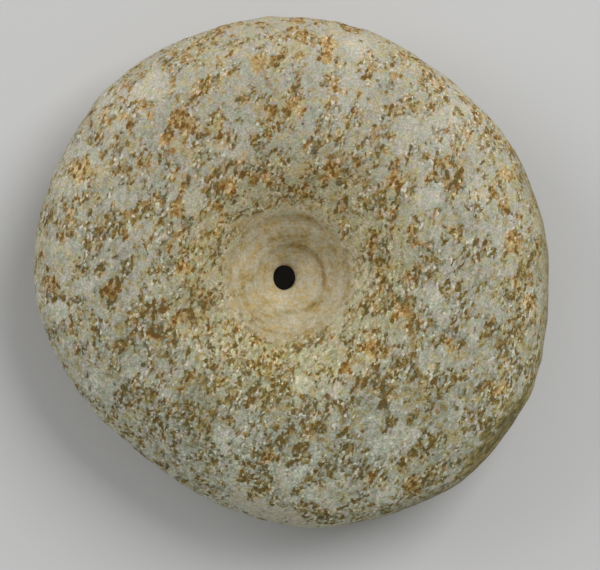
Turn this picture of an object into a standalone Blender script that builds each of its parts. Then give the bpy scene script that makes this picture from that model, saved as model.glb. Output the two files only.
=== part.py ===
"""A stone spindle whorl: a thick oval disc with a rounded rim, drilled from both faces.

The two drillings are wide funnels that meet in a narrow throat. The upper one opens into a dished
face with two drilling rings, and the lower one opens in the flat ground that the whorl lies on.
Metres, +Z up. The origin is on the resting face, under the middle of the outline.
"""

import math

import bmesh
import bpy
from mathutils import Vector

# The outline, seen from above. Bearings are degrees, counter-clockwise from +X.
LONG_DIAMETER = 0.0621
SHORT_DIAMETER = 0.0580
LONG_AXIS_BEARING = 141.0
CORNER_SWELL = 0.00055
CORNER_BEARING = 57.0

# Worn flats round the rim: bearing and half width in degrees, depth in metres.
WORN_FLATS = (
    (55.0, 23.0, 0.0010),
    (157.0, 17.0, 0.0008),
    (236.0, 24.0, 0.0004),
    (293.0, 16.0, 0.0006),
    (354.0, 23.0, 0.0003),
)

# Heights, from the resting face up.
LOWER_FUNNEL_DEPTH = 0.0087
NECK_LENGTH = 0.0008
UPPER_FUNNEL_DEPTH = 0.0075
EQUATOR_HEIGHT = 0.0088

# The upper face, from the throat's wall outwards to the crest.
THROAT_WIDTH = 0.0025
THROAT_LENGTH = 0.0028
BASIN_WIDTH = 0.00245
SHELF_WIDTH = 0.0030
DISH_WIDTH = 0.0088
RING_STEP = 0.00022
RING_SLOPE_WIDTH = 0.0003

# The underside, from the throat's wall outwards.
LOWER_FUNNEL_WIDTH = 0.0078
RESTING_BAND_WIDTH = 0.0085

# Where the drillings stand: the dished face from the middle of the rim, the basin from the dished
# face, and the throat from the basin.
DISH_PLACE = Vector((-0.00080, -0.00045))
BASIN_PLACE = Vector((0.00023, -0.00047))
THROAT_PLACE = Vector((-0.00087, 0.00014))

# How full each curve is. 1 is a straight cone or a sharp edge, and more is rounder.
UPPER_FUNNEL_CURVE = 1.4
LOWER_FUNNEL_CURVE = 1.25
CROWN_CURVE = 1.6
BELLY_CURVE = 1.9

# The steep side facet: it leans back from upright, and the crown is fuller above it.
FACET_BEARING = -38.0
FACET_HALF_WIDTH = 17.0
FACET_LEAN = 24.0
FACET_FULLNESS = 0.0012

# How finely the surface is divided.
SEGMENTS = 80
CURVE_STEPS = 11
BASIN_STEPS = 3
SHELF_STEPS = 3
DISH_STEPS = 7
LOWER_FUNNEL_STEPS = 6

STONE_COLOUR = (0.38, 0.34, 0.23, 1.0)
STONE_ROUGHNESS = 0.78
SHARP_ANGLE = 35.0

# Worked out from the sizes above.
NECK_BOTTOM = LOWER_FUNNEL_DEPTH
NECK_TOP = NECK_BOTTOM + NECK_LENGTH
CREST_HEIGHT = NECK_TOP + UPPER_FUNNEL_DEPTH
THROAT_RADIUS = THROAT_WIDTH / 2
BASIN_RADIUS = THROAT_RADIUS + BASIN_WIDTH
SHELF_RADIUS = BASIN_RADIUS + SHELF_WIDTH
CREST_RADIUS = SHELF_RADIUS + DISH_WIDTH
MOUTH_RADIUS = THROAT_RADIUS + LOWER_FUNNEL_WIDTH
BAND_RADIUS = MOUTH_RADIUS + RESTING_BAND_WIDTH
MEAN_RADIUS = (LONG_DIAMETER + SHORT_DIAMETER) / 4
OVAL_SWELL = (LONG_DIAMETER - SHORT_DIAMETER) / 4


def clear_scene():
    for item in list(bpy.data.objects):
        bpy.data.objects.remove(item, do_unlink=True)


def stone_material():
    material = bpy.data.materials.new("stone")
    material.use_nodes = True
    shader = material.node_tree.nodes["Principled BSDF"]
    shader.inputs["Base Color"].default_value = STONE_COLOUR
    shader.inputs["Roughness"].default_value = STONE_ROUGHNESS
    shader.inputs["Metallic"].default_value = 0.0
    return material


def fade(value, start, end):
    """0 up to start, 1 from end on, with a smooth run between."""
    share = min(max((value - start) / (end - start), 0.0), 1.0)
    return share * share * (3.0 - 2.0 * share)


def turn_between(bearing, other):
    """The angle from one bearing to another, in degrees from -180 to 180."""
    return (bearing - other + 180.0) % 360.0 - 180.0


def hump(bearing, middle, half_width):
    """1 at the middle bearing, falling smoothly to nothing on both sides."""
    return math.exp(-((turn_between(bearing, middle) / half_width) ** 2))


def steps(start, end, count):
    """Count values from start up to end, without end."""
    return [start + (end - start) * i / count for i in range(count)]


def rim_radius(bearing):
    """The outline: an oval with three soft corners and the worn flats."""
    radius = MEAN_RADIUS
    radius += OVAL_SWELL * math.cos(2 * math.radians(bearing - LONG_AXIS_BEARING))
    radius += CORNER_SWELL * math.cos(3 * math.radians(bearing - CORNER_BEARING))
    for middle, half_width, depth in WORN_FLATS:
        radius -= depth * hump(bearing, middle, half_width)
    return radius


def upper_funnel_height(radius):
    """The dished face and funnel, with a step down inside each drilling ring."""
    rings = (BASIN_RADIUS, SHELF_RADIUS)
    smooth_depth = UPPER_FUNNEL_DEPTH - RING_STEP * len(rings)
    share = (radius - THROAT_RADIUS) / (CREST_RADIUS - THROAT_RADIUS)
    height = CREST_HEIGHT - smooth_depth * (1.0 - share) ** UPPER_FUNNEL_CURVE
    half_slope = RING_SLOPE_WIDTH / 2
    for ring in rings:
        height -= RING_STEP * (1.0 - fade(radius, ring - half_slope, ring + half_slope))
    return height


def upper_funnel_points():
    """From the throat's upper edge out to the crest, without the crest."""
    half_slope = RING_SLOPE_WIDTH / 2
    radii = steps(THROAT_RADIUS, BASIN_RADIUS - half_slope, BASIN_STEPS)
    radii += [BASIN_RADIUS - half_slope]
    radii += steps(BASIN_RADIUS + half_slope, SHELF_RADIUS - half_slope, SHELF_STEPS)
    radii += [SHELF_RADIUS - half_slope]
    radii += steps(SHELF_RADIUS + half_slope, CREST_RADIUS, DISH_STEPS)
    return [(radius, upper_funnel_height(radius)) for radius in radii]


def crown_points():
    """From the crest out and down to the equator, without the equator."""
    points = []
    for angle in steps(0.0, math.pi / 2, CURVE_STEPS):
        out = math.sin(angle) ** (2.0 / CROWN_CURVE)
        up = math.cos(angle)
        radius = CREST_RADIUS + (MEAN_RADIUS - CREST_RADIUS) * out
        height = EQUATOR_HEIGHT + (CREST_HEIGHT - EQUATOR_HEIGHT) * up
        points.append((radius, height))
    return points


def belly_points():
    """From the equator down and in to the resting band's outer edge."""
    points = []
    for angle in steps(math.pi / 2, 0.0, CURVE_STEPS):
        out = math.sin(angle) ** (2.0 / BELLY_CURVE)
        radius = BAND_RADIUS + (MEAN_RADIUS - BAND_RADIUS) * out
        points.append((radius, EQUATOR_HEIGHT * (1.0 - math.cos(angle))))
    points.append((BAND_RADIUS, 0.0))
    return points


def lower_funnel_points():
    """From the lower funnel's mouth up to the throat's lower edge."""
    points = []
    for radius in steps(MOUTH_RADIUS, THROAT_RADIUS, LOWER_FUNNEL_STEPS):
        share = (MOUTH_RADIUS - radius) / (MOUTH_RADIUS - THROAT_RADIUS)
        points.append((radius, LOWER_FUNNEL_DEPTH * share ** LOWER_FUNNEL_CURVE))
    points.append((THROAT_RADIUS, NECK_BOTTOM))
    return points


def upper_drilled_place(radius, bearing):
    """A point of the dished face or funnel: its rings wander from the dish to the basin and throat."""
    in_basin = 1.0 - fade(radius, BASIN_RADIUS, SHELF_RADIUS)
    in_throat = 1.0 - fade(radius, THROAT_RADIUS, BASIN_RADIUS)
    middle = DISH_PLACE + BASIN_PLACE * in_basin + THROAT_PLACE * in_throat
    return middle + drilled_spoke(bearing, in_throat) * radius


def lower_drilled_place(radius, bearing):
    """A point of the lower funnel, whose mouth is under the dished face's middle."""
    in_throat = 1.0 - fade(radius, THROAT_RADIUS, MOUTH_RADIUS)
    middle = DISH_PLACE + (BASIN_PLACE + THROAT_PLACE) * in_throat
    return middle + drilled_spoke(bearing, in_throat) * radius


def drilled_spoke(bearing, in_throat):
    """The way out from a drilling's middle, drawn out along Y where the throat is longer than wide."""
    stretch = 1.0 + (THROAT_LENGTH / THROAT_WIDTH - 1.0) * in_throat
    angle = math.radians(bearing)
    return Vector((math.cos(angle), math.sin(angle) * stretch))


def outer_place(radius, bearing, inner, push):
    """A point outside the drilling, where the round crest grows into the worn outline."""
    share = fade(radius, inner, MEAN_RADIUS)
    angle = math.radians(bearing)
    spoke = Vector((math.cos(angle), math.sin(angle)))
    rim = rim_radius(bearing)
    grown = radius + (rim - MEAN_RADIUS) * share + push
    return DISH_PLACE * (1.0 - share) + spoke * min(grown, rim)


def crown_push(height, bearing):
    """How far the crown is pushed out above the side facet, so that it meets it in an edge."""
    up = (height - EQUATOR_HEIGHT) / (CREST_HEIGHT - EQUATOR_HEIGHT)
    up = min(max(up, 0.0), 1.0)
    swell = 2.0 * up * math.sqrt(1.0 - up * up)
    return FACET_FULLNESS * swell * hump(bearing, FACET_BEARING, FACET_HALF_WIDTH)


def is_upper(radius, height):
    """Whether a point of the turned profile belongs to the upper half of the whorl."""
    if radius < CREST_RADIUS:
        return height > (NECK_TOP + NECK_BOTTOM) / 2
    return height >= EQUATOR_HEIGHT


def worn_place(radius, bearing, height):
    """Where a point of the turned profile lies on the real, worn whorl."""
    if is_upper(radius, height):
        if radius <= CREST_RADIUS:
            flat = upper_drilled_place(radius, bearing)
        else:
            flat = outer_place(radius, bearing, CREST_RADIUS, crown_push(height, bearing))
    elif radius <= MOUTH_RADIUS:
        flat = lower_drilled_place(radius, bearing)
    else:
        flat = outer_place(radius, bearing, MOUTH_RADIUS, 0.0)
    return Vector((flat.x, flat.y, height))


def facet_depth(point):
    """How far a point stands out past the side facet, measured level.

    The facet's plane touches the outline at the equator and leans in above it.
    """
    turn = math.radians(FACET_BEARING)
    out = point.x * math.cos(turn) + point.y * math.sin(turn)
    lean_in = (point.z - EQUATOR_HEIGHT) * math.tan(math.radians(FACET_LEAN))
    return out - (rim_radius(FACET_BEARING) - lean_in)


def turned_blank():
    """The profile, one closed loop, turned once round the axis."""
    profile = upper_funnel_points() + crown_points() + [(MEAN_RADIUS, EQUATOR_HEIGHT)]
    profile += belly_points()[1:] + lower_funnel_points()
    shape = bmesh.new()
    ring = [shape.verts.new((radius, 0.0, height)) for radius, height in profile]
    edges = [shape.edges.new((ring[i - 1], ring[i])) for i in range(len(ring))]
    bmesh.ops.spin(
        shape,
        geom=ring + edges,
        cent=(0.0, 0.0, 0.0),
        axis=(0.0, 0.0, 1.0),
        angle=2 * math.pi,
        steps=SEGMENTS,
        use_merge=True,
    )
    return shape


def wear(shape):
    """Move the turned blank's points to the worn form, and cut the side facet."""
    turn = math.radians(FACET_BEARING)
    facet_way = Vector((math.cos(turn), math.sin(turn), 0.0))
    for vert in shape.verts:
        radius = math.hypot(vert.co.x, vert.co.y)
        bearing = math.degrees(math.atan2(vert.co.y, vert.co.x))
        vert.co = worn_place(radius, bearing, vert.co.z)
        vert.co -= facet_way * max(facet_depth(vert.co), 0.0)


def centre_on_outline(shape):
    """Put the origin under the middle of the outline's box."""
    across = [vert.co.x for vert in shape.verts]
    along = [vert.co.y for vert in shape.verts]
    middle = Vector(((min(across) + max(across)) / 2, (min(along) + max(along)) / 2, 0.0))
    bmesh.ops.translate(shape, verts=shape.verts, vec=-middle)


def make_whorl():
    shape = turned_blank()
    wear(shape)
    centre_on_outline(shape)
    bmesh.ops.recalc_face_normals(shape, faces=shape.faces)
    mesh = bpy.data.meshes.new("whorl")
    shape.to_mesh(mesh)
    shape.free()
    mesh.shade_smooth()
    mesh.set_sharp_from_angle(angle=math.radians(SHARP_ANGLE))
    mesh.materials.append(stone_material())
    whorl = bpy.data.objects.new("whorl", mesh)
    bpy.context.scene.collection.objects.link(whorl)
    return whorl


clear_scene()
make_whorl()
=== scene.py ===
"""The stone spindle whorl as it looks: worn, speckled stone with a smooth drilled funnel, lying flat."""

import math

import bmesh
import bpy
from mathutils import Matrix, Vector, noise


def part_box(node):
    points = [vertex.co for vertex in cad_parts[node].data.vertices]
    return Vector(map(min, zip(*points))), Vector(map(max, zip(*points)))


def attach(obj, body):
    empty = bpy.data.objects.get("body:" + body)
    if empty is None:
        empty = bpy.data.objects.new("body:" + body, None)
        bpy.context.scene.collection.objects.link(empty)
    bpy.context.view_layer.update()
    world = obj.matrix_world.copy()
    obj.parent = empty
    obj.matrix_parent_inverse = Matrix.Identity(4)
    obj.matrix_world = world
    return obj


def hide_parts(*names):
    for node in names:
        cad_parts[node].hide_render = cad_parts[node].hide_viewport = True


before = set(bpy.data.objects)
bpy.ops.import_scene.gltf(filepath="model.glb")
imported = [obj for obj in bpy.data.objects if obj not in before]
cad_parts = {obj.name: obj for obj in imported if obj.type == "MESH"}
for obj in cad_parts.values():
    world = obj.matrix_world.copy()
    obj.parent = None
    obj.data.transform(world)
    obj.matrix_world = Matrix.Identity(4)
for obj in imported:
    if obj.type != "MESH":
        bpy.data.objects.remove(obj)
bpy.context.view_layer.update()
LOW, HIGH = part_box("whorl")

# The photograph's frame, in its own pixels, and what the whorl covers there.
PHOTO_WIDE = 600
PHOTO_HIGH = 570
OUTLINE_WIDE = 516.7
OUTLINE_MIDDLE = (291.2, 271.3)
PIXEL = (HIGH.x - LOW.x) / OUTLINE_WIDE

# Places and sizes on the whorl, in metres from the middle of its outline. Bearings and leans are degrees.
DISH_MIDDLE = (-0.0002, -0.0003)
BASIN_MIDDLE = (0.0, -0.0008)
BASIN_RADIUS = 0.0037
SHELF_RADIUS = 0.0067
SHOULDER_RADIUS = 0.0220
EQUATOR_HEIGHT = 0.0088
FACET_BEARING = -38.0
FACET_LEAN = 24.0
SOIL_AND_SHADE_BEARING = -20.0

# The camera, high above the whorl: its height in metres, sensor in millimetres and shift in pixels.
CAMERA_HEIGHT = 0.42
SENSOR_WIDTH = 36.0
VIEW_SHIFT = -0.7

# How the solid's mesh is made fine.
SMOOTHING_LEVELS = 2
MERGE_DISTANCE = 0.000002
PAIRING_ANGLE = 60.0

# The relief of the worn skin: the length of its waves and their height, in metres.
SWELL_WAVE = 0.0070
SWELL_HEIGHT = 0.00018
LUMP_WAVE = 0.0026
LUMP_HEIGHT = 0.00012
GRAIN_WAVE = 0.0012
GRAIN_HEIGHT = 0.00007
RIPPLE_WAVE = 0.00095
RIPPLE_HEIGHT = 0.000035
FLAKE_WAVE = 0.0007
FLAKE_LENGTH = 0.006
FLAKE_HEIGHT = 0.00008

# Small chips in the rim: bearing in degrees, then height up the side, radius and depth in metres.
CHIPS = (
    (243.0, 0.0104, 0.0013, 0.00050),
    (238.5, 0.0112, 0.0009, 0.00025),
    (196.0, 0.0100, 0.0011, 0.00018),
    (128.0, 0.0105, 0.0012, 0.00018),
    (22.0, 0.0108, 0.0012, 0.00020),
    (81.0, 0.0060, 0.0014, 0.00025),
    (301.0, 0.0052, 0.0016, 0.00030),
)


def at_pixel(across, down):
    """The place on the whorl, in metres, under a pixel of the photograph."""
    x = (across - OUTLINE_MIDDLE[0]) * PIXEL
    y = (OUTLINE_MIDDLE[1] - down) * PIXEL
    return x, y


def fade(value, start, end):
    """0 up to start, 1 from end on, with a smooth run between."""
    share = min(max((value - start) / (end - start), 0.0), 1.0)
    return share * share * (3.0 - 2.0 * share)


def refined_skin(node):
    """A copy of the solid's mesh, with its triangles paired and divided into a fine smooth skin."""
    skin = bmesh.new()
    skin.from_mesh(node.data)
    bmesh.ops.remove_doubles(skin, verts=skin.verts, dist=MERGE_DISTANCE)
    bmesh.ops.join_triangles(
        skin,
        faces=skin.faces,
        angle_face_threshold=math.radians(PAIRING_ANGLE),
        angle_shape_threshold=math.radians(PAIRING_ANGLE),
        topology_influence=2.0,
    )
    bmesh.ops.recalc_face_normals(skin, faces=skin.faces)
    coarse = bpy.data.meshes.new("whorl_stone_coarse")
    skin.to_mesh(coarse)
    skin.free()
    piece = bpy.data.objects.new("whorl_stone", coarse)
    bpy.context.scene.collection.objects.link(piece)
    finer = piece.modifiers.new("finer", "SUBSURF")
    finer.levels = SMOOTHING_LEVELS
    finer.render_levels = SMOOTHING_LEVELS
    bpy.context.view_layer.update()
    evaluated = piece.evaluated_get(bpy.context.evaluated_depsgraph_get())
    fine = bpy.data.meshes.new_from_object(evaluated)
    piece.modifiers.clear()
    piece.data = fine
    bpy.data.meshes.remove(coarse)
    return piece


def facet_way():
    """The level way that the side facet faces."""
    turn = math.radians(FACET_BEARING)
    return Vector((math.cos(turn), math.sin(turn), 0.0))


def facet_reach(mesh):
    """How far out the side facet's plane meets the outline, at the equator."""
    way = facet_way()
    return max(way.dot(vert.co) for vert in mesh.vertices)


def past_facet(point, reach):
    """How far a point stands out past the leaning facet, measured level."""
    lean_in = (point.z - EQUATOR_HEIGHT) * math.tan(math.radians(FACET_LEAN))
    return facet_way().dot(point) - (reach - lean_in)


def drilled_share(point):
    """1 in the smooth drilled funnel, fading out to 0 over the dished face."""
    out = math.hypot(point.x - DISH_MIDDLE[0], point.y - DISH_MIDDLE[1])
    return 1.0 - fade(out, SHELF_RADIUS * 0.85, SHELF_RADIUS * 1.5)


def skin_relief(point):
    """Height of the worn surface over the smooth form: swells, lumps and grain."""
    drilled = drilled_share(point)
    swell = noise.noise(point / SWELL_WAVE) * SWELL_HEIGHT
    lump = noise.noise(point / LUMP_WAVE) * LUMP_HEIGHT
    grain = noise.noise(point / GRAIN_WAVE) * GRAIN_HEIGHT
    return swell * (1.0 - 0.6 * drilled) + lump * (1.0 - 0.8 * drilled) + grain * (1.0 - 0.9 * drilled)


def ripple_relief(point):
    """The drill's fine rings round the funnel, each fading in and out as it goes round."""
    out = math.hypot(point.x - BASIN_MIDDLE[0], point.y - BASIN_MIDDLE[1])
    turn = math.atan2(point.y - BASIN_MIDDLE[1], point.x - BASIN_MIDDLE[0])
    around = Vector((math.cos(turn) * 1.3, math.sin(turn) * 1.3, out / RIPPLE_WAVE))
    return noise.noise(around) * RIPPLE_HEIGHT * drilled_share(point)


def chip_depth(point):
    """How deep the chips in the rim cut at a point."""
    depth = 0.0
    for bearing, height, radius, deepest in CHIPS:
        turn = math.radians(bearing)
        flat = Vector((point.x, point.y))
        side = Vector((math.cos(turn), math.sin(turn)))
        along = side.cross(flat)
        if side.dot(flat) > SHOULDER_RADIUS:
            off = math.hypot(along, point.z - height)
            ragged = radius * (1.0 + 0.35 * noise.noise(point / (radius * 0.6)))
            depth = max(depth, deepest * (1.0 - fade(off, ragged * 0.55, ragged)))
    return depth


def flake_relief(point):
    """How deep the fine ledges bite that run level along the side facet."""
    along = Vector((-facet_way().y, facet_way().x, 0.0)).dot(point)
    ledge = noise.noise(Vector((along / FLAKE_LENGTH, 0.0, point.z / FLAKE_WAVE)))
    return (0.5 + 0.5 * ledge) * FLAKE_HEIGHT


def wear_skin(piece):
    """Give the smooth skin its wear: relief, drill rings, chips and the flaked side facet."""
    mesh = piece.data
    reach = facet_reach(mesh)
    worn = []
    for vert in mesh.vertices:
        on_facet = fade(past_facet(vert.co, reach), -0.0003, 0.0)
        rise = skin_relief(vert.co) + ripple_relief(vert.co) - chip_depth(vert.co)
        place = vert.co + vert.normal * rise * (1.0 - 0.7 * on_facet)
        place -= facet_way() * flake_relief(vert.co) * on_facet
        place.z = max(place.z, 0.0)
        worn.append(place)
    for vert, place in zip(mesh.vertices, worn):
        vert.co = place
    mesh.shade_smooth()
    mesh.update()


# The sockets of a mix, by number, because its colours and its numbers share their names.
MIX_SHARE = 0
MIX_FIRST = 6
MIX_SECOND = 7
MIX_RESULT = 2
MIX_FIRST_NUMBER = 2
MIX_SECOND_NUMBER = 3
MIX_RESULT_NUMBER = 0


class Finish:
    """A surface finish: one shader, and the patterns that feed it."""

    def __init__(self, name):
        self.material = bpy.data.materials.new(name)
        self.material.use_nodes = True
        self.tree = self.material.node_tree
        self.shader = self.tree.nodes["Principled BSDF"]
        self.place = self.tree.nodes.new("ShaderNodeTexCoord").outputs["Object"]

    def add(self, kind, inputs, **settings):
        node = self.tree.nodes.new(kind)
        for name, value in settings.items():
            setattr(node, name, value)
        for socket, value in inputs.items():
            self.feed(node.inputs[socket], value)
        return node

    def feed(self, socket, value):
        if isinstance(value, bpy.types.NodeSocket):
            self.tree.links.new(value, socket)
        else:
            socket.default_value = value

    def noise(self, size, detail=2.0, rough=0.5, place=None):
        """Cloudy noise round 0, whose blots are about as wide as size, in metres."""
        inputs = {"Vector": place or self.place, "Scale": 1.0 / size, "Detail": detail, "Roughness": rough}
        cloud = self.add("ShaderNodeTexNoise", inputs).outputs["Fac"]
        return self.maths("SUBTRACT", cloud, 0.5)

    def grains(self, size, place=None):
        """Grains about as wide as size: two random numbers, from 0 to 1, for each grain."""
        inputs = {"Vector": place or self.place, "Scale": 1.0 / size}
        colour = self.add("ShaderNodeTexVoronoi", inputs).outputs["Color"]
        parts = self.add("ShaderNodeSeparateColor", {"Color": colour}).outputs
        return parts["Red"], parts["Green"]

    def maths(self, operation, first, second=0.0, clamp=False):
        inputs = {0: first, 1: second}
        return self.add("ShaderNodeMath", inputs, operation=operation, use_clamp=clamp).outputs["Value"]

    def total(self, *terms):
        """The sum of the terms: each is a number, or a pattern and its weight."""
        result = 0.0
        for term in terms:
            if isinstance(term, tuple):
                term = self.maths("MULTIPLY", term[0], term[1])
            result = self.maths("ADD", result, term)
        return result

    def vector(self, operation, first, second=(0.0, 0.0, 0.0)):
        return self.add("ShaderNodeVectorMath", {0: first, 1: second}, operation=operation)

    def ramp(self, value, start, end, low=0.0, high=1.0):
        """A smooth step from low to high as value goes from start to end."""
        inputs = {"Value": value, "From Min": start, "From Max": end, "To Min": low, "To Max": high}
        node = self.add("ShaderNodeMapRange", inputs, interpolation_type="SMOOTHSTEP")
        return node.outputs["Result"]

    def mix(self, share, first, second, blend="MIX"):
        inputs = {MIX_SHARE: share, MIX_FIRST: first, MIX_SECOND: second}
        node = self.add("ShaderNodeMix", inputs, data_type="RGBA", blend_type=blend)
        return node.outputs[MIX_RESULT]

    def mix_numbers(self, share, first, second):
        inputs = {MIX_SHARE: share, MIX_FIRST_NUMBER: first, MIX_SECOND_NUMBER: second}
        return self.add("ShaderNodeMix", inputs, data_type="FLOAT").outputs[MIX_RESULT_NUMBER]

    def shades(self, value, shades):
        """A run of colours: each is a place along value, from 0 to 1, and the colour there."""
        node = self.add("ShaderNodeValToRGB", {"Fac": value})
        stops = node.color_ramp.elements
        while len(stops) < len(shades):
            stops.new(0.5)
        for stop, (place, colour) in zip(stops, shades):
            stop.position = place
            stop.color = colour
        return node.outputs["Color"]

    def lighten(self, colour, share, amount):
        """The colour, made lighter or darker by an amount that is 1 where nothing changes."""
        grey = self.add("ShaderNodeCombineColor", {"Red": amount, "Green": amount, "Blue": amount})
        return self.mix(share, colour, grey.outputs["Color"], "MULTIPLY")

    def push(self, size, reach):
        """A shift by noise: blots as wide as size are moved by up to about half of reach."""
        inputs = {"Vector": self.place, "Scale": 1.0 / size, "Detail": 2.0}
        colour = self.add("ShaderNodeTexNoise", inputs).outputs["Color"]
        centred = self.vector("SUBTRACT", colour, (0.5, 0.5, 0.5)).outputs["Vector"]
        return self.vector("MULTIPLY", centred, (reach, reach, reach)).outputs["Vector"]

    def moved(self, place, shift):
        return self.vector("ADD", place, shift).outputs["Vector"]

    def stretched_place(self, bearing, stretch):
        """A place whose patterns are drawn out along a level bearing, in degrees."""
        inputs = {
            "Vector": self.place,
            "Rotation": (0.0, 0.0, math.radians(bearing)),
            "Scale": (stretch, 1.0, 1.0),
        }
        return self.add("ShaderNodeMapping", inputs, vector_type="TEXTURE").outputs["Vector"]

    def level_away(self, place, middle):
        """The level way from an upright line through middle, and the distance from it."""
        away = self.vector("SUBTRACT", place, (middle[0], middle[1], 0.0)).outputs["Vector"]
        level = self.vector("MULTIPLY", away, (1.0, 1.0, 0.0)).outputs["Vector"]
        return level, self.vector("LENGTH", level).outputs["Value"]

    def distance(self, place, middle):
        return self.level_away(place, middle)[1]

    def arcs_place(self, middle, radius, stretch):
        """A place that runs round and out from middle, so that a pattern on it is drawn out into arcs.

        At the radius, its blots are stretch times as long as they are wide.
        """
        level, out = self.level_away(self.place, middle)
        spoke = self.vector("NORMALIZE", level).outputs["Vector"]
        scale = radius / stretch
        round_it = self.vector("MULTIPLY", spoke, (scale, scale, 0.0)).outputs["Vector"]
        outwards = self.add("ShaderNodeCombineXYZ", {"Z": out}).outputs["Vector"]
        return self.moved(round_it, outwards)

    def spots(self, place, spots):
        """A mask that is 1 inside each spot and fades out at its edge."""
        level = self.vector("MULTIPLY", place, (1.0, 1.0, 0.0)).outputs["Vector"]
        mask = 0.0
        for across, down, radius in spots:
            distance = self.vector("DISTANCE", level, (*at_pixel(across, down), 0.0)).outputs["Value"]
            spot = self.ramp(distance, radius * PIXEL * 0.55, radius * PIXEL * 1.25, 1.0, 0.0)
            mask = self.maths("MAXIMUM", mask, spot)
        return mask

    def line(self, place, start, end, width):
        """A mask of a thin line between two pixels of the photograph."""
        start = Vector((*at_pixel(*start), 0.0))
        run = Vector((*at_pixel(*end), 0.0)) - start
        away = self.vector("SUBTRACT", place, start).outputs["Vector"]
        level = self.vector("MULTIPLY", away, (1.0, 1.0, 0.0)).outputs["Vector"]
        along = self.vector("DOT_PRODUCT", level, run / run.length_squared).outputs["Value"]
        along = self.maths("ADD", along, 0.0, clamp=True)
        near = self.add("ShaderNodeVectorMath", {0: run, "Scale": along}, operation="SCALE")
        off = self.vector("SUBTRACT", level, near.outputs["Vector"]).outputs["Vector"]
        distance = self.vector("LENGTH", off).outputs["Value"]
        return self.ramp(distance, width * 0.3, width * 0.7, 1.0, 0.0)


# Colours of the stone, as shares of the light that each sends back, from pale grains to dark pits.
COLD_SHADES = (
    (0.00, (0.65, 0.64, 0.56, 1.0)),
    (0.12, (0.535, 0.525, 0.445, 1.0)),
    (0.32, (0.420, 0.413, 0.342, 1.0)),
    (0.50, (0.328, 0.324, 0.260, 1.0)),
    (0.67, (0.235, 0.220, 0.142, 1.0)),
    (0.80, (0.170, 0.151, 0.083, 1.0)),
    (0.97, (0.120, 0.106, 0.052, 1.0)),
)
WARM_SHADES = (
    (0.00, (0.72, 0.66, 0.50, 1.0)),
    (0.12, (0.60, 0.545, 0.36, 1.0)),
    (0.32, (0.47, 0.408, 0.235, 1.0)),
    (0.50, (0.372, 0.305, 0.146, 1.0)),
    (0.67, (0.285, 0.196, 0.058, 1.0)),
    (0.80, (0.215, 0.140, 0.032, 1.0)),
    (0.97, (0.148, 0.094, 0.022, 1.0)),
)
PINKISH = (1.045, 0.975, 0.985, 1.0)
GREENISH = (0.955, 1.02, 0.92, 1.0)
STAIN = (1.03, 0.83, 0.62, 1.0)
DISH_TINT = (1.02, 0.95, 0.76, 1.0)
FUNNEL_SHADES = (
    (0.10, (0.54, 0.465, 0.31, 1.0)),
    (0.40, (0.43, 0.36, 0.215, 1.0)),
    (0.68, (0.32, 0.255, 0.125, 1.0)),
    (0.95, (0.20, 0.145, 0.055, 1.0)),
)
FUNNEL_WARM = (1.06, 0.94, 0.66, 1.0)
FUNNEL_COLD = (0.96, 1.02, 1.14, 1.0)
RUST = (0.28, 0.165, 0.050, 1.0)
SIDE_SHADES = (
    (0.10, (0.41, 0.335, 0.110, 1.0)),
    (0.45, (0.225, 0.178, 0.044, 1.0)),
    (0.80, (0.080, 0.063, 0.017, 1.0)),
)
# Olive soil, also laid on as painted shade at the lower right edge and as painted shadow on the chip's
# lip.
OLIVE_SOIL_AND_SHADE = (0.22, 0.185, 0.070, 1.0)
BEIGE = (0.54, 0.49, 0.35, 1.0)

# Marks that can be told apart in the photograph, read one by one: pixel across and down, radius in pixels.
PALE_PATCHES = (
    (383, 442, 13),
    (405, 436, 14),
    (137, 361, 13),
    (385, 495, 11),
    (293, 472, 12),
    (223, 429, 11),
    (301, 381, 10),
    (315, 491, 11),
    (200, 204, 14),
    (368, 422, 12),
    (467, 327, 14),
    (155, 87, 16),
    (357, 47, 13),
    (122, 196, 10),
    (60, 311, 11),
    (338, 389, 8),
    (236, 153, 10),
    (171, 393, 9),
    (89, 284, 10),
    (95, 384, 11),
    (427, 196, 14),
    (473, 190, 13),
    (431, 299, 11),
)
DARK_CLUSTERS = (
    (262, 471, 13),
    (359, 468, 12),
    (375, 469, 10),
    (315, 509, 13),
    (410, 483, 12),
    (497, 344, 11),
    (486, 422, 10),
    (127, 397, 11),
    (49, 332, 10),
    (162, 329, 10),
    (95, 248, 12),
    (184, 427, 10),
    (115, 289, 12),
    (438, 440, 10),
    (217, 187, 11),
    (152, 395, 8),
    (52, 283, 10),
    (374, 259, 9),
    (250, 176, 11),
    (315, 150, 8),
)
ORANGE_STAINS = (
    (399, 316, 12),
    (85, 171, 12),
    (52, 284, 9),
    (182, 122, 12),
    (169, 141, 8),
    (328, 48, 10),
    (326, 62, 9),
    (372, 346, 10),
    (260, 67, 10),
    (157, 339, 9),
    (528, 299, 9),
    (346, 368, 8),
    (331, 172, 10),
    (507, 173, 10),
    (508, 241, 10),
    (497, 386, 9),
    (296, 109, 10),
    (115, 289, 10),
    (391, 184, 11),
    (229, 189, 9),
    (270, 353, 9),
    (182, 210, 9),
    (402, 275, 9),
    (445, 345, 9),
    (186, 268, 9),
    (410, 483, 9),
    (268, 453, 9),
)
# Painted shade: broad patches painted darker over the lower half of the crest and rim, where the surface
# lies in shade.
PAINTED_SHADE_PATCHES = (
    (155, 336, 38),
    (205, 396, 36),
    (291, 423, 38),
    (366, 403, 34),
    (190, 305, 30),
    (262, 385, 28),
    (423, 403, 32),
    (472, 330, 26),
    (345, 452, 26),
    (486, 390, 32),
    (509, 333, 24),
    (522, 356, 20),
    (450, 434, 31),
    (416, 462, 25),
    (533, 262, 22),
)
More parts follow.
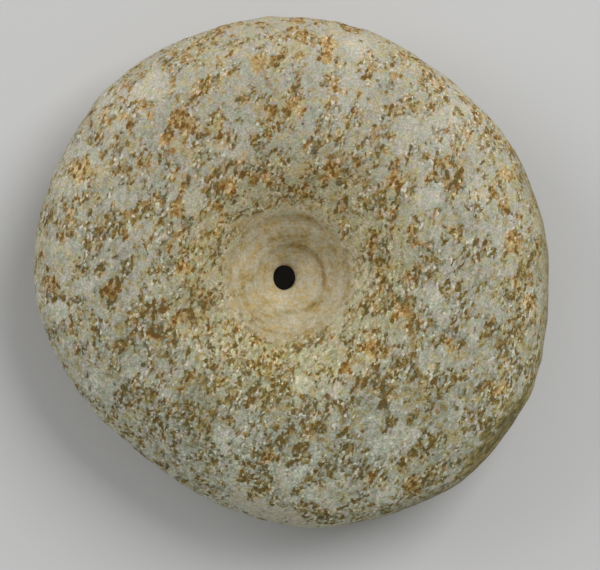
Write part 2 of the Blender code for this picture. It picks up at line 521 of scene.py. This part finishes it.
# Painted light: patches painted lighter, mostly along the upper rim, where the surface catches the light.
PAINTED_LIGHT_PATCHES = (
    (423, 141, 34),
    (339, 92, 34),
    (240, 452, 24),
    (372, 283, 24),
    (461, 103, 30),
    (121, 103, 30),
    (75, 170, 28),
)
BEIGE_EDGE = (
    (240, 497, 9),
    (257, 505, 10),
    (275, 513, 10),
    (294, 519, 9),
    (311, 523, 7),
)
# Painted shade on the funnel's upper wall, which faces away from the light.
FUNNEL_PAINTED_SHADE = (
    (300, 232, 22),
    (322, 243, 16),
    (295, 256, 10),
)
BASIN_RUST = ((326, 272, 19),)

# The stone's pattern: how wide its grains and blots are, in metres, and the way they are drawn out.
GRIT_WIDE = 0.00022
FINE_GRAIN_WIDE = 0.00027
GRAIN_WIDE = 0.00038
BLOT_WIDE = 0.0009
TINT_WIDE = 0.0009
HUE_WIDE = 0.0010
RUST_WIDE = 0.0013
CRYSTAL_WIDE = 0.0021
CLUSTER_WIDE = 0.0030
WARMTH_WIDE = 0.0040
GRAIN_BEARING = 66.0
GRAIN_STRETCH = 1.45
PIT_DEPTH = 0.00012

# The thin rusty veins: their ends as pixels of the photograph, and how wide they are in metres.
LONG_VEIN = ((404, 296), (420, 392), 0.00045)
SHORT_VEIN = ((261, 66), (276, 96), 0.00040)

# The dished face and the rim, by distance from the dish's middle: where each starts or ends, in metres.
DISH_FADES = (0.0100, 0.0180)
RIM_RISES = (0.0215, 0.0270)

# Ragged edges: how wide their waves are, and twice how far they push an edge, in metres.
MARKS_RAGGED = (0.0020, 0.0016)
FUNNEL_RAGGED = (0.0014, 0.0014)
RINGS_WOBBLE = (0.0030, 0.0005)
SIDE_RAGGED = (0.0010, 0.0019)
LIP_RAGGED = (0.0008, 0.0012)

# The funnel's pattern, in metres but for the stretches: how wide its arcs, clouds and lines are, the
# radius at which the arcs are measured, and where the funnel ends, sideways and below.
ARC_RADIUS = 0.0050
ARC_STRETCH = 6.0
ARC_WIDE = 0.00075
FINE_ARC_WIDE = 0.00026
CLOUD_WIDE = 0.0024
MOTTLE_WIDE = 0.0010
FUNNEL_GRAIN_WIDE = 0.0004
FUNNEL_HUE_WIDE = 0.0012
LINE_PATCH_WIDE = 0.0025
RUST_PATCH_WIDE = 0.0007
FOOT_LINE_WIDE = 0.00035
CREST_LINE_WIDE = 0.00025
SHELF_LINE_WIDE = 0.00045
RUST_LINE_WIDE = 0.0006
FUNNEL_ENDS = (0.0062, 0.0090)
FUNNEL_EDGE_WIDE = 0.0012
FUNNEL_EDGE_REACH = 0.0085
FUNNEL_EDGE_RADIUS = 0.0075
FUNNEL_EDGE_STRETCH = 2.5
FUNNEL_BOTTOM = (0.0088, 0.0094)

# The side facet, and the olive soil and painted shade on the edge, in metres but for the squeeze and
# # the shares: how wide their streaks and blots are, where each starts, and the heights between which it
# fades.
STREAK_WIDE = 0.0005
STREAK_SQUEEZE = 0.14
SIDE_BLOT_WIDE = 0.0009
SIDE_STARTS = (-0.0005, -0.0001)
SIDE_BOTTOM = (0.0040, 0.0075)
SIDE_SHARE = 0.93
SOIL_AND_SHADE_BLOT_WIDE = 0.0010
SOIL_AND_SHADE_BLOT_REACH = 0.0025
SOIL_AND_SHADE_TOP = (0.0095, 0.0130)
SOIL_AND_SHADE_STARTS = (0.016, 0.024)
SOIL_AND_SHADE_SHARE = 0.75

# The painted shadow on the lip of the chip at the lower left: its ends as pixels of the photograph, its
# # width in metres, and the heights between which it fades out below.
CHIP_LIP_SHADOW = ((177, 478), (194, 488), 0.0007)
CHIP_BOTTOM = (0.0092, 0.0102)

# How shiny the stone and the paper are, and the light of the room.
STONE_GLOSS = 0.35
PAPER_GLOSS = 0.1
PAPER_GREY = (0.62, 0.62, 0.615, 1.0)
PAPER_ROUGHNESS = 0.9
PAPER_HALF_WIDTH = 0.9
ROOM_LIGHT = 0.31


def grain_pattern(stone, place, crystal, lift):
    """How dark each grain is, round 0.5, and a number for its hue, round 0.

    The grains stand out in the crumbly stone and are faint in the smooth pale crystals.
    """
    fine, fine_hue = stone.grains(FINE_GRAIN_WIDE, place)
    wide, wide_hue = stone.grains(GRAIN_WIDE, place)
    blots = stone.ramp(stone.noise(BLOT_WIDE, 2.0, 0.75, place), -0.12, 0.16)
    flecks = stone.ramp(wide, 0.74, 0.82)
    sparks = stone.ramp(fine, 0.05, 0.11, 1.0, 0.0)
    contrast = stone.total(-0.58, (fine, 0.47), (wide, 0.33), (blots, 0.30))
    contrast = stone.total(contrast, (flecks, 0.18), (sparks, -0.28))
    contrast = stone.maths("MULTIPLY", contrast, stone.total(1.08, (crystal, -0.74), (lift, -8.0)))
    hue = stone.total(-0.13, (fine_hue, 0.08), (wide_hue, 0.18))
    pale = stone.maths("MULTIPLY", crystal, stone.total(-0.20, (lift, 2.0)))
    return stone.total(0.585, contrast, pale, (flecks, 0.05)), hue


def speckled_stone(stone):
    """The colour and the height of the speckled stone, and how dark each grain is."""
    drawn_out = stone.stretched_place(GRAIN_BEARING, GRAIN_STRETCH)
    ragged = stone.moved(stone.place, stone.push(*MARKS_RAGGED))
    pale = stone.spots(ragged, PALE_PATCHES)
    dark = stone.spots(ragged, DARK_CLUSTERS)
    orange = stone.spots(ragged, ORANGE_STAINS)
    beige = stone.spots(ragged, BEIGE_EDGE)
    # Broad patches of painted shade and of painted light.
    soil_and_painted_shade = stone.spots(stone.place, PAINTED_SHADE_PATCHES)
    painted_light = stone.spots(stone.place, PAINTED_LIGHT_PATCHES)
    out = stone.distance(stone.place, DISH_MIDDLE)
    dish = stone.ramp(out, *DISH_FADES, 1.0, 0.0)
    edge = stone.ramp(out, *RIM_RISES)
    lift = stone.add("ShaderNodeSeparateXYZ", {"Vector": stone.place}).outputs["Y"]

    # The smooth pale crystals and the crumbly grains between them.
    crystal = stone.total(stone.noise(CRYSTAL_WIDE, 3.0, 0.6, drawn_out), (pale, 0.12), (beige, 0.15))
    crystal = stone.total(crystal, (dark, -0.12), (orange, -0.05), (dish, -0.03))
    crystal = stone.ramp(crystal, -0.025, 0.035)
    level, hue = grain_pattern(stone, drawn_out, crystal, lift)
    height = level

    # The marks that can be told apart, and clusters of light and dark grains.
    rust = stone.total((stone.noise(RUST_WIDE, 3.0, 0.7, drawn_out), 0.85), (orange, 0.14), (lift, 1.2))
    rust = stone.ramp(stone.total(rust, (crystal, -0.12)), -0.01, 0.13)
    level = stone.total(level, (stone.noise(CLUSTER_WIDE), 0.13), (stone.noise(BLOT_WIDE, 2.0, 0.7), 0.14))
    level = stone.total(level, (dark, 0.12), (pale, -0.14), (beige, -0.12), (orange, -0.05), (rust, 0.04))
    # The rim is painted lighter as painted light, the painted-shade patches darker and the painted-light
    # patches lighter; the stone is also lighter towards +Y.
    level = stone.total(level, (edge, -0.12), (dish, -0.05), (soil_and_painted_shade, 0.16), (painted_light, -0.09), (lift, -0.3))

    # Dark grains are warmer than pale ones, and the stone is warmer towards the top of the photograph.
    hue = stone.total(hue, (stone.noise(HUE_WIDE, 2.0, 0.7), 1.3), (stone.noise(WARMTH_WIDE), 0.50))
    hue = stone.total(hue, (lift, 1.0), (crystal, -0.04), (level, 0.36), (rust, 0.10), (orange, 0.16))
    hue = stone.total(hue, -0.215, (dark, -0.06), (edge, 0.09))
    warm = stone.ramp(hue, -0.20, 0.20)
    colour = stone.mix(warm, stone.shades(level, COLD_SHADES), stone.shades(level, WARM_SHADES))
    green = stone.total(stone.noise(TINT_WIDE, 2.0, 0.7), (lift, -2.2))
    green = stone.ramp(green, -0.13, 0.11)
    colour = stone.mix(1.0, colour, stone.mix(green, PINKISH, GREENISH), "MULTIPLY")

    # Rusty stains lie over the grains, and soil warms the dished face.
    colour = stone.mix(rust, colour, STAIN, "MULTIPLY")
    veins = stone.maths("MAXIMUM", stone.line(ragged, *LONG_VEIN), stone.line(ragged, *SHORT_VEIN))
    colour = stone.mix(stone.maths("MULTIPLY", veins, 0.5), colour, RUST)
    colour = stone.mix(dish, colour, DISH_TINT, "MULTIPLY")
    colour = stone.mix(stone.maths("MULTIPLY", beige, 0.7), colour, BEIGE)
    return colour, stone.maths("MULTIPLY", height, -1.2), stone.ramp(height, 0.60, 0.90)


def drilled_funnel(stone):
    """The colour and the height of the smooth drilled funnel, with fine arcs round its middle."""
    place = stone.arcs_place(BASIN_MIDDLE, ARC_RADIUS, ARC_STRETCH)
    arcs = stone.noise(ARC_WIDE, 2.0, 0.55, place)
    fine_arcs = stone.noise(FINE_ARC_WIDE, 2.0, 0.6, place)
    clouds = stone.noise(CLOUD_WIDE, 3.0, 0.6)
    mottles = stone.noise(MOTTLE_WIDE, 2.0, 0.6)
    grains = stone.noise(FUNNEL_GRAIN_WIDE, 2.0, 0.6)
    ragged = stone.moved(stone.place, stone.push(*FUNNEL_RAGGED))
    # Painted shade darkens the upper wall of the funnel.
    painted_shade = stone.spots(ragged, FUNNEL_PAINTED_SHADE)
    level = stone.total(0.42, (arcs, 0.45), (fine_arcs, 0.35), (clouds, 1.0), (mottles, 0.55))
    level = stone.total(level, (grains, 0.8), (painted_shade, 0.16))

    # The basin is the palest, with a thin dark line of painted shade in the foot of its ring and a pale
    # line of
    #     # painted highlight on it; another line of painted shade lies in the foot of the shelf.
    wobble = stone.moved(stone.place, stone.push(*RINGS_WOBBLE))
    out = stone.distance(wobble, BASIN_MIDDLE)
    basin = stone.ramp(out, BASIN_RADIUS * 0.80, BASIN_RADIUS * 1.02, 1.0, 0.0)
    patchy = stone.ramp(stone.noise(LINE_PATCH_WIDE), -0.08, 0.08, 0.15, 1.0)
    foot = stone.maths("MULTIPLY", ring(stone, out, BASIN_RADIUS * 1.07, FOOT_LINE_WIDE), patchy)
    crest = ring(stone, out, BASIN_RADIUS * 0.95, CREST_LINE_WIDE)
    shelf_foot = ring(stone, stone.distance(wobble, DISH_MIDDLE), SHELF_RADIUS * 1.03, SHELF_LINE_WIDE)
    level = stone.total(level, (basin, -0.16), (foot, 0.16), (crest, -0.12), (shelf_foot, 0.14))
    colour = stone.shades(level, FUNNEL_SHADES)
    hue = stone.total((stone.noise(FUNNEL_HUE_WIDE, 3.0, 0.7), 1.0), (arcs, 0.3))
    colour = stone.mix(stone.ramp(hue, -0.02, 0.16), colour, FUNNEL_WARM, "MULTIPLY")
    colour = stone.mix(stone.ramp(hue, -0.16, 0.02, 1.0, 0.0), colour, FUNNEL_COLD, "MULTIPLY")
    rust = ring(stone, out, BASIN_RADIUS * 1.04, RUST_LINE_WIDE)
    rust = stone.maths("MULTIPLY", rust, stone.spots(stone.place, BASIN_RUST))
    rust = stone.maths("MULTIPLY", rust, stone.ramp(stone.noise(RUST_PATCH_WIDE), -0.10, 0.05, 0.15, 0.75))
    colour = stone.mix(rust, colour, RUST)
    height = stone.total((arcs, 0.35), (fine_arcs, 0.2), (foot, -0.3))
    return colour, height


def ring(stone, out, radius, width):
    """A mask of a thin ring at a radius."""
    off = stone.maths("ABSOLUTE", stone.maths("SUBTRACT", out, radius))
    return stone.ramp(off, width * 0.15, width * 0.75, 1.0, 0.0)


def steep_side(stone, reach):
    """The mask and the colour of the steep, flaked side facet: brown and olive, streaked along it."""
    way = facet_way()
    ragged = stone.moved(stone.place, stone.push(*SIDE_RAGGED))
    out = stone.vector("DOT_PRODUCT", ragged, way).outputs["Value"]
    height = stone.add("ShaderNodeSeparateXYZ", {"Vector": ragged}).outputs["Z"]
    lean = math.tan(math.radians(FACET_LEAN))
    past = stone.total(out, (height, lean), -reach - EQUATOR_HEIGHT * lean)
    mask = stone.ramp(past, *SIDE_STARTS)
    mask = stone.maths("MULTIPLY", mask, stone.ramp(height, *SIDE_BOTTOM))
    level_way = Vector((-way.y, way.x, 0.0)) * STREAK_SQUEEZE
    along = stone.vector("DOT_PRODUCT", stone.place, level_way).outputs["Value"]
    streaks = stone.add("ShaderNodeCombineXYZ", {"X": along, "Y": height}).outputs["Vector"]
    level = stone.total(0.5, (stone.noise(STREAK_WIDE, 3.0, 0.7, streaks), 2.4))
    level = stone.total(level, (stone.noise(SIDE_BLOT_WIDE), 1.2))
    return mask, stone.shades(level, SIDE_SHADES)


def stone_finish(reach):
    """Pale granular stone with orange and olive flecks, a smooth tan funnel and a brown side facet."""
    stone = Finish("weathered_speckled_stone")
    colour, height, pits = speckled_stone(stone)

    # Olive soil and painted shade darken the edge at the lower right; painted shadow darkens the chip's
    # lip at the lower left.
    parts = stone.add("ShaderNodeSeparateXYZ", {"Vector": stone.place}).outputs
    low = stone.total(parts["Z"], (stone.noise(SOIL_AND_SHADE_BLOT_WIDE), SOIL_AND_SHADE_BLOT_REACH))
    low = stone.ramp(low, *SOIL_AND_SHADE_TOP, 1.0, 0.0)
    turn = math.radians(SOIL_AND_SHADE_BEARING)
    soil_and_shade_way = (math.cos(turn), math.sin(turn), 0.0)
    reached = stone.vector("DOT_PRODUCT", stone.place, soil_and_shade_way).outputs["Value"]
    soil_and_painted_shade = stone.maths("MULTIPLY", low, stone.ramp(reached, *SOIL_AND_SHADE_STARTS))
    ragged = stone.moved(stone.place, stone.push(*LIP_RAGGED))
    lip_shadow = stone.line(ragged, *CHIP_LIP_SHADOW)
    lip_shadow = stone.maths("MULTIPLY", lip_shadow, stone.ramp(parts["Z"], *CHIP_BOTTOM))
    soil_and_painted_shade = stone.maths("MULTIPLY", stone.maths("MAXIMUM", soil_and_painted_shade, lip_shadow), SOIL_AND_SHADE_SHARE)
    colour = stone.mix(soil_and_painted_shade, colour, OLIVE_SOIL_AND_SHADE)
    side, side_colour = steep_side(stone, reach)
    colour = stone.mix(stone.maths("MULTIPLY", side, SIDE_SHARE), colour, side_colour)

    # The smooth funnel gives way to flecks that are drawn out round it.
    funnel_colour, funnel_height = drilled_funnel(stone)
    out = stone.distance(stone.place, DISH_MIDDLE)
    drawn_out = stone.arcs_place(DISH_MIDDLE, FUNNEL_EDGE_RADIUS, FUNNEL_EDGE_STRETCH)
    edge = stone.total(out, (stone.noise(FUNNEL_EDGE_WIDE, 3.0, 0.7, drawn_out), FUNNEL_EDGE_REACH))
    upper = stone.ramp(parts["Z"], *FUNNEL_BOTTOM)
    drilled = stone.maths("MULTIPLY", stone.ramp(edge, *FUNNEL_ENDS, 1.0, 0.0), upper)
    colour = stone.mix(drilled, colour, funnel_colour)

    # Fine grit over everything, weaker in the funnel.
    grit = stone.noise(GRIT_WIDE, 2.0, 0.7)
    grit_share = stone.ramp(drilled, 0.0, 1.0, 1.0, 0.5)
    colour = stone.lighten(colour, grit_share, stone.ramp(grit, -0.2, 0.2, 0.78, 1.22))
    stone.feed(stone.shader.inputs["Base Color"], colour)

    speckled_height = stone.total(height, (grit, 0.9))
    relief = stone.mix_numbers(drilled, speckled_height, stone.total(funnel_height, (grit, 0.3)))
    bump = stone.add("ShaderNodeBump", {"Strength": 1.0, "Distance": PIT_DEPTH, "Height": relief})
    stone.feed(stone.shader.inputs["Normal"], bump.outputs["Normal"])
    stone.feed(stone.shader.inputs["Roughness"], stone.ramp(pits, 0.0, 1.0, 0.66, 0.88))
    stone.shader.inputs["Specular IOR Level"].default_value = STONE_GLOSS
    return stone.material


def make_whorl():
    piece = refined_skin(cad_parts["whorl"])
    reach = facet_reach(piece.data)
    wear_skin(piece)
    piece.data.materials.clear()
    piece.data.materials.append(stone_finish(reach))
    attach(piece, "root")
    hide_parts("whorl")


def plain_finish(name, colour, roughness):
    paper = Finish(name)
    paper.shader.inputs["Base Color"].default_value = colour
    paper.shader.inputs["Roughness"].default_value = roughness
    paper.shader.inputs["Specular IOR Level"].default_value = PAPER_GLOSS
    return paper.material


def make_floor():
    sheet = bmesh.new()
    bmesh.ops.create_grid(sheet, x_segments=1, y_segments=1, size=PAPER_HALF_WIDTH)
    mesh = bpy.data.meshes.new("floor")
    sheet.to_mesh(mesh)
    sheet.free()
    floor = bpy.data.objects.new("floor", mesh)
    bpy.context.scene.collection.objects.link(floor)
    mesh.materials.append(plain_finish("pale_grey_paper", PAPER_GREY, PAPER_ROUGHNESS))


def area_light(name, bearing, elevation, distance, size, power):
    """A soft square light that looks at the whorl from a bearing and height in degrees."""
    light = bpy.data.lights.new(name, "AREA")
    light.shape = "SQUARE"
    light.size = size
    light.energy = power
    lamp = bpy.data.objects.new(name, light)
    bpy.context.scene.collection.objects.link(lamp)
    turn = math.radians(bearing)
    rise = math.radians(elevation)
    way = Vector((math.cos(turn) * math.cos(rise), math.sin(turn) * math.cos(rise), math.sin(rise)))
    lamp.location = way * distance
    lamp.rotation_euler = way.to_track_quat("Z", "Y").to_euler()


def light_stage():
    area_light("key_light", bearing=42.0, elevation=46.0, distance=0.95, size=0.58, power=6.1)
    area_light("fill_light", bearing=155.0, elevation=30.0, distance=0.9, size=0.6, power=2.6)
    world = bpy.data.worlds.new("soft_room")
    world.use_nodes = True
    sky = world.node_tree.nodes["Background"]
    sky.inputs["Color"].default_value = (1.0, 1.0, 1.0, 1.0)
    sky.inputs["Strength"].default_value = ROOM_LIGHT
    bpy.context.scene.world = world


def make_camera():
    """A camera that looks straight down on the middle of the photograph's frame."""
    camera = bpy.data.cameras.new("camera")
    camera.sensor_width = SENSOR_WIDTH
    camera.lens = SENSOR_WIDTH * (CAMERA_HEIGHT - EQUATOR_HEIGHT) / (PHOTO_WIDE * PIXEL)
    camera.clip_start = 0.01
    eye = bpy.data.objects.new("camera", camera)
    bpy.context.scene.collection.objects.link(eye)
    x, y = at_pixel(PHOTO_WIDE / 2, PHOTO_HIGH / 2 + VIEW_SHIFT)
    eye.location = (x, y, CAMERA_HEIGHT)
    bpy.context.scene.camera = eye


make_whorl()
make_floor()
light_stage()
make_camera()
bpy.context.scene.view_settings.view_transform = "Standard"
